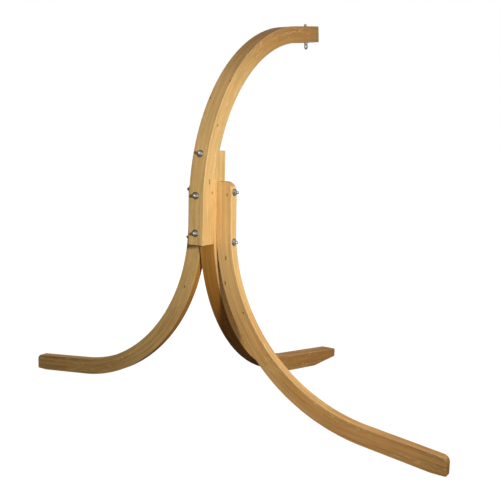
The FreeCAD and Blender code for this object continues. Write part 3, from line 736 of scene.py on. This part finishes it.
def timber_colour(tree, grain, place, board, ring, knot, worn_and_painted_light):
    """From the wood outwards: rings, patches, painted shade towards the ends in each beam's tone,
    painted shade near the ground, streaks, boards, ends, painted shade on the leg backs, worn
    edges with a painted highlight, flecks, glue, knots.
    """
    def mixed(colour, mask, amount, other, how="MIX"):
        return tint(tree, sums(tree, "MULTIPLY", mask, amount), colour, other, how)

    red_patch = ease(tree, clouds(tree, stretch(tree, grain, (7, 26, 26)), 1.0, 2.0), 0.50, 0.70)
    olive_patch = ease(tree, clouds(tree, stretch(tree, place, (12, 12, 8)), 1.0, 2.0), 0.45, 0.65)
    height = add(tree, "SeparateXYZ", Vector=place).outputs["Z"]
    # Painted shade: darker below 0.95 m and above 1.62 m, where the main lamp's light falls off, in
    # each beam's own tone.
    end_falloff_shade = sums(tree, "MAXIMUM", ease(tree, height, 0.45, 0.95, 1.0, 0.0),
                 ease(tree, height, 1.62, 2.02))
    colour = mixed(pale_wood, ring.outputs["Ring"], 0.45, late_wood)
    colour = mixed(colour, red_patch, 0.28, red_wood)
    colour = mixed(colour, olive_patch, 0.35, olive_wood)
    colour = mixed(colour, end_falloff_shade, 1.0, beam_shade_tone(tree, grain), "MULTIPLY")
    # Painted shade towards the feet: darker below 0.34 m.
    colour = mixed(colour, ease(tree, height, 0.08, 0.34, 1.0, 0.0), 1.0, ground_painted_shade, "MULTIPLY")
    streak = ease(tree, clouds(tree, stretch(tree, grain, (2.5, 75, 75)), 1.0, 3.0), 0.52, 0.66)
    low_down = ease(tree, height, 0.30, 0.60, 1.0, 0.15)
    colour = mixed(colour, sums(tree, "MULTIPLY", streak, low_down), 0.70, streak_brown, "MULTIPLY")
    shade = sums(tree, "MULTIPLY_ADD", board.outputs["Chance"], 0.16, 0.90)
    for sort, weak, strong in (("Tone", 0.85, 1.09), ("Fibre", 0.94, 1.05)):
        shade = sums(tree, "MULTIPLY", shade,
                     ease(tree, ring.outputs[sort], 0.25, 0.75, weak, strong))
    colour = add(tree, "VectorMath", {"operation": "SCALE"}, Vector=colour, Scale=shade).outputs[0]
    ends = add(tree, "Attribute", {"attribute_name": "end_grain"}).outputs["Fac"]
    colour = mixed(colour, ease(tree, ends, 0.35, 0.90), 0.75, end_wood, "MULTIPLY")
    # Painted shade: the backs of the legs, outside the bend, darkened brown.
    colour = mixed(colour, worn_and_painted_light.outputs["Back"], 1.0, back_painted_shade, "MULTIPLY")
    # Pale long edges: partly worn oil, partly a painted highlight.
    colour = mixed(colour, worn_and_painted_light.outputs["Edge"], 0.18, worn_wood_and_highlight)
    colour = mixed(colour, worn_and_painted_light.outputs["Flecks"], 0.65, worn_wood_and_highlight)
    colour = mixed(colour, board.outputs["Glue"], 0.30, glue_brown)
    colour = mixed(colour, knot.outputs["Halo"], 0.30, red_wood)
    return mixed(colour, knot.outputs["Knot"], 0.85, knot_brown)


def timber_material():
    """Satin oiled wood: the fibre sets its roughness, and fibre, glue and knots its relief."""
    material = bpy.data.materials.new("oiled_softwood")
    material.use_nodes = True
    tree = material.node_tree
    surface = tree.nodes["Principled BSDF"]
    grain = add(tree, "Attribute", {"attribute_name": "grain"}).outputs["Vector"]
    place = add(tree, "TexCoord").outputs["Object"]
    board = add(tree, "Group", {"node_tree": boards}, Grain=grain)
    ring = add(tree, "Group", {"node_tree": rings}, Grain=grain, Spacing=ring_spacing,
               Chance=board.outputs["Chance"], Second_Chance=board.outputs["Second Chance"])
    knot = add(tree, "Group", {"node_tree": pin_knots}, Grain=grain)
    height = add(tree, "SeparateXYZ", Vector=place).outputs["Z"]
    worn_and_painted_light = add(tree, "Group", {"node_tree": wear_and_painted_light}, Grain=grain,
               Rubbed=ease(tree, height, 1.80, 1.95))
    feed(tree, surface.inputs["Base Color"],
         timber_colour(tree, grain, place, board, ring, knot, worn_and_painted_light))
    feed(tree, surface.inputs["Roughness"],
         ease(tree, ring.outputs["Fibre"], 0.2, 0.8, 0.50, 0.64))
    surface.inputs["Specular IOR Level"].default_value = 0.30
    relief = sums(tree, "MULTIPLY_ADD", ring.outputs["Ring"], 0.4, ring.outputs["Fibre"])
    relief = sums(tree, "MULTIPLY_ADD", board.outputs["Glue"], -0.9, relief)
    relief = sums(tree, "MULTIPLY_ADD", knot.outputs["Knot"], -1.5, relief)
    bump = add(tree, "Bump", Strength=0.5, Distance=0.00025, Height=relief)
    feed(tree, surface.inputs["Normal"], bump.outputs[0])
    return material


softwood = timber_material()
for piece in timbers.values():
    piece.data.materials.clear()
    piece.data.materials.append(softwood)
print("material:", softwood.name, "nodes:", len(softwood.node_tree.nodes))

# %% [markdown]
# ## Zinc-plated steel
# The bolts, washers, nuts and the eye are zinc-plated steel.  Plating is never quite even: it
# has a faint bluish and yellowish bloom, the odd duller patch, and fine scratches from the
# spanner.  The flat washers are the same zinc given a darker grey than the cap nuts, which is
# painted shade.  These pieces keep their meshes, so only their material changes.

# %% The zinc materials
def zinc_material(name, cool, warm, dulled, smoothest):
    """Plate between a cool and a warm grey, dulled in spots, scratched round its roughness."""
    material = bpy.data.materials.new(name)
    material.use_nodes = True
    tree = material.node_tree
    plate = tree.nodes["Principled BSDF"]
    place = add(tree, "TexCoord").outputs["Object"]
    bloom = clouds(tree, place, 90.0, 2.0)
    colour = tint(tree, ease(tree, bloom, 0.35, 0.65), cool, warm)
    dull = ease(tree, clouds(tree, place, 260.0, 3.0), 0.45, 0.70)
    colour = tint(tree, sums(tree, "MULTIPLY", dull, 0.45), colour, dulled)
    feed(tree, plate.inputs["Base Color"], colour)
    plate.inputs["Metallic"].default_value = 1.0
    scratch = clouds(tree, stretch(tree, place, (300, 2200, 2200)), 1.0, 2.0)
    gloss = ease(tree, scratch, 0.3, 0.7, smoothest, smoothest + 0.1)
    feed(tree, plate.inputs["Roughness"], sums(tree, "MULTIPLY_ADD", dull, 0.12, gloss))
    bump = add(tree, "Bump", Strength=0.25, Distance=0.00005, Height=scratch)
    feed(tree, plate.inputs["Normal"], bump.outputs[0])
    return material


bright_zinc = zinc_material("bright_zinc", (0.54, 0.57, 0.60, 1), (0.62, 0.60, 0.55, 1),
                            (0.38, 0.38, 0.37, 1), 0.45)
# Painted shade: the washers are the same zinc made a darker grey.
grey_zinc = zinc_material("grey_zinc", (0.46, 0.45, 0.43, 1), (0.50, 0.46, 0.39, 1),
                          (0.30, 0.28, 0.25, 1), 0.44)
hardware = {name: piece for name, piece in frame["nodes"].items() if name not in beams}
for name, piece in hardware.items():
    piece.data.materials.clear()
    piece.data.materials.append(grey_zinc if name.endswith("washer") else bright_zinc)
print("zinc on", len(hardware), "pieces")

# %% [markdown]
# ## Floor and light
# The stand is shown on a plain pale floor in a plain pale room.  The main lamp stands to the
# right of the viewer, a little above the hub, so the beams' right-hand sides are the bright
# ones and the bolts throw short shadows to the left.  A weak soft lamp on the far side
# keeps the front readable when the stand is walked round.  The room looks plain white, but
# the light it gives is weaker from the left and from below than from the right and from
# above, so the steel has something dark to mirror.

# %% Floor
def floor():
    """One flat square; for the viewer it glows a little, so that it looks as pale as the room."""
    half = 30.0
    mesh = bpy.data.meshes.new("floor")
    mesh.from_pydata([(-half, -half, 0), (half, -half, 0), (half, half, 0), (-half, half, 0)],
                     [], [(0, 1, 2, 3)])
    piece = bpy.data.objects.new("floor", mesh)
    bpy.context.scene.collection.objects.link(piece)
    material = bpy.data.materials.new("pale_floor")
    material.use_nodes = True
    tree = material.node_tree
    paint = tree.nodes["Principled BSDF"]
    paint.inputs["Base Color"].default_value = (0.13, 0.13, 0.125, 1)
    paint.inputs["Roughness"].default_value = 0.9
    paint.inputs["Specular IOR Level"].default_value = 0.1
    paint.inputs["Emission Color"].default_value = (1, 1, 1, 1)
    seen = add(tree, "LightPath").outputs["Is Camera Ray"]
    feed(tree, paint.inputs["Emission Strength"], sums(tree, "MULTIPLY", seen, 0.97))
    mesh.materials.append(material)
    return piece


pale_floor = floor()
print("floor laid at height", pale_floor.location.z)

# %% Room and lamps
def room():
    """Brightness from the direction of sight: dim below and to the left, paler to the right
    and above.  The viewer's own rays see plain white."""
    world = bpy.data.worlds.new("pale_room")
    world.use_nodes = True
    tree = world.node_tree
    direction = add(tree, "TexCoord").outputs["Generated"]
    towards = add(tree, "VectorMath", {"operation": "DOT_PRODUCT"})
    feed(tree, towards.inputs[0], direction)
    towards.inputs[1].default_value = Vector((0.45, -0.75, 0.50)).normalized()
    light = ease(tree, towards.outputs["Value"], -0.8, 0.95, 0.10, 0.62)
    seen = add(tree, "LightPath").outputs["Is Camera Ray"]
    sky = tree.nodes["Background"]
    feed(tree, sky.inputs["Color"], tint(tree, seen, (1.0, 0.98, 0.93, 1), (1, 1, 1, 1)))
    feed(tree, sky.inputs["Strength"], sums(tree, "MAXIMUM", light, seen))
    bpy.context.scene.world = world


def lamp(name, kind, place, aim, power, colour, **settings):
    """A lamp at a place, turned to look at what it aims at."""
    light = bpy.data.lights.new(name, kind)
    light.energy, light.color = power, colour
    for key, value in settings.items():
        setattr(light, key, value)
    holder = bpy.data.objects.new(name, light)
    holder.location = place
    holder.rotation_euler = (Vector(aim) - Vector(place)).to_track_quat("-Z", "Y").to_euler()
    bpy.context.scene.collection.objects.link(holder)
    return holder


room()
hub_middle = Vector((hub, 0, 1.15))
lamp("key", "SPOT", (-2.1, -2.2, 1.45), hub_middle + Vector((0, 0, 0.1)), 256, (1.0, 0.97, 0.91),
     spot_size=math.radians(108), spot_blend=1.0, shadow_soft_size=0.14)
fill = lamp("fill", "AREA", (3.2, 2.6, 0.9), hub_middle, 62, (1.0, 0.98, 0.95), size=1.6)
fill.visible_glossy = False

# %% [markdown]
# ## Camera
# The camera stands behind the stand and to its right, at eye height, looking slightly down
# with a moderate lens, and is tilted about a degree.

# %% Camera
def camera(place, heading, dip, tilt, lens):
    """Right, up and forward directions from three angles, set as the camera's matrix."""
    forward = Vector((math.cos(heading) * math.cos(dip), math.sin(heading) * math.cos(dip),
                      -math.sin(dip)))
    level = forward.cross(Vector((0, 0, 1))).normalized()
    right = level * math.cos(tilt) + level.cross(forward) * math.sin(tilt)
    rows = Matrix((right, right.cross(forward), -forward)).transposed()
    data = bpy.data.cameras.new("camera")
    data.lens, data.sensor_width = lens, 36.0
    holder = bpy.data.objects.new("camera", data)
    holder.matrix_world = Matrix.Translation(place) @ rows.to_4x4()
    bpy.context.scene.collection.objects.link(holder)
    bpy.context.scene.camera = holder


camera((-3.7286, -2.3120, 1.4566), math.radians(33.476), math.radians(8.634),
       math.radians(1.263), 55.65)
bpy.context.scene.view_settings.view_transform = "Standard"
print("camera at", [round(part, 3) for part in bpy.context.scene.camera.location])

# %% [markdown]
# ## Finish
# The scene is brought up to date at the end.

# %% Finish
bpy.context.view_layer.update()
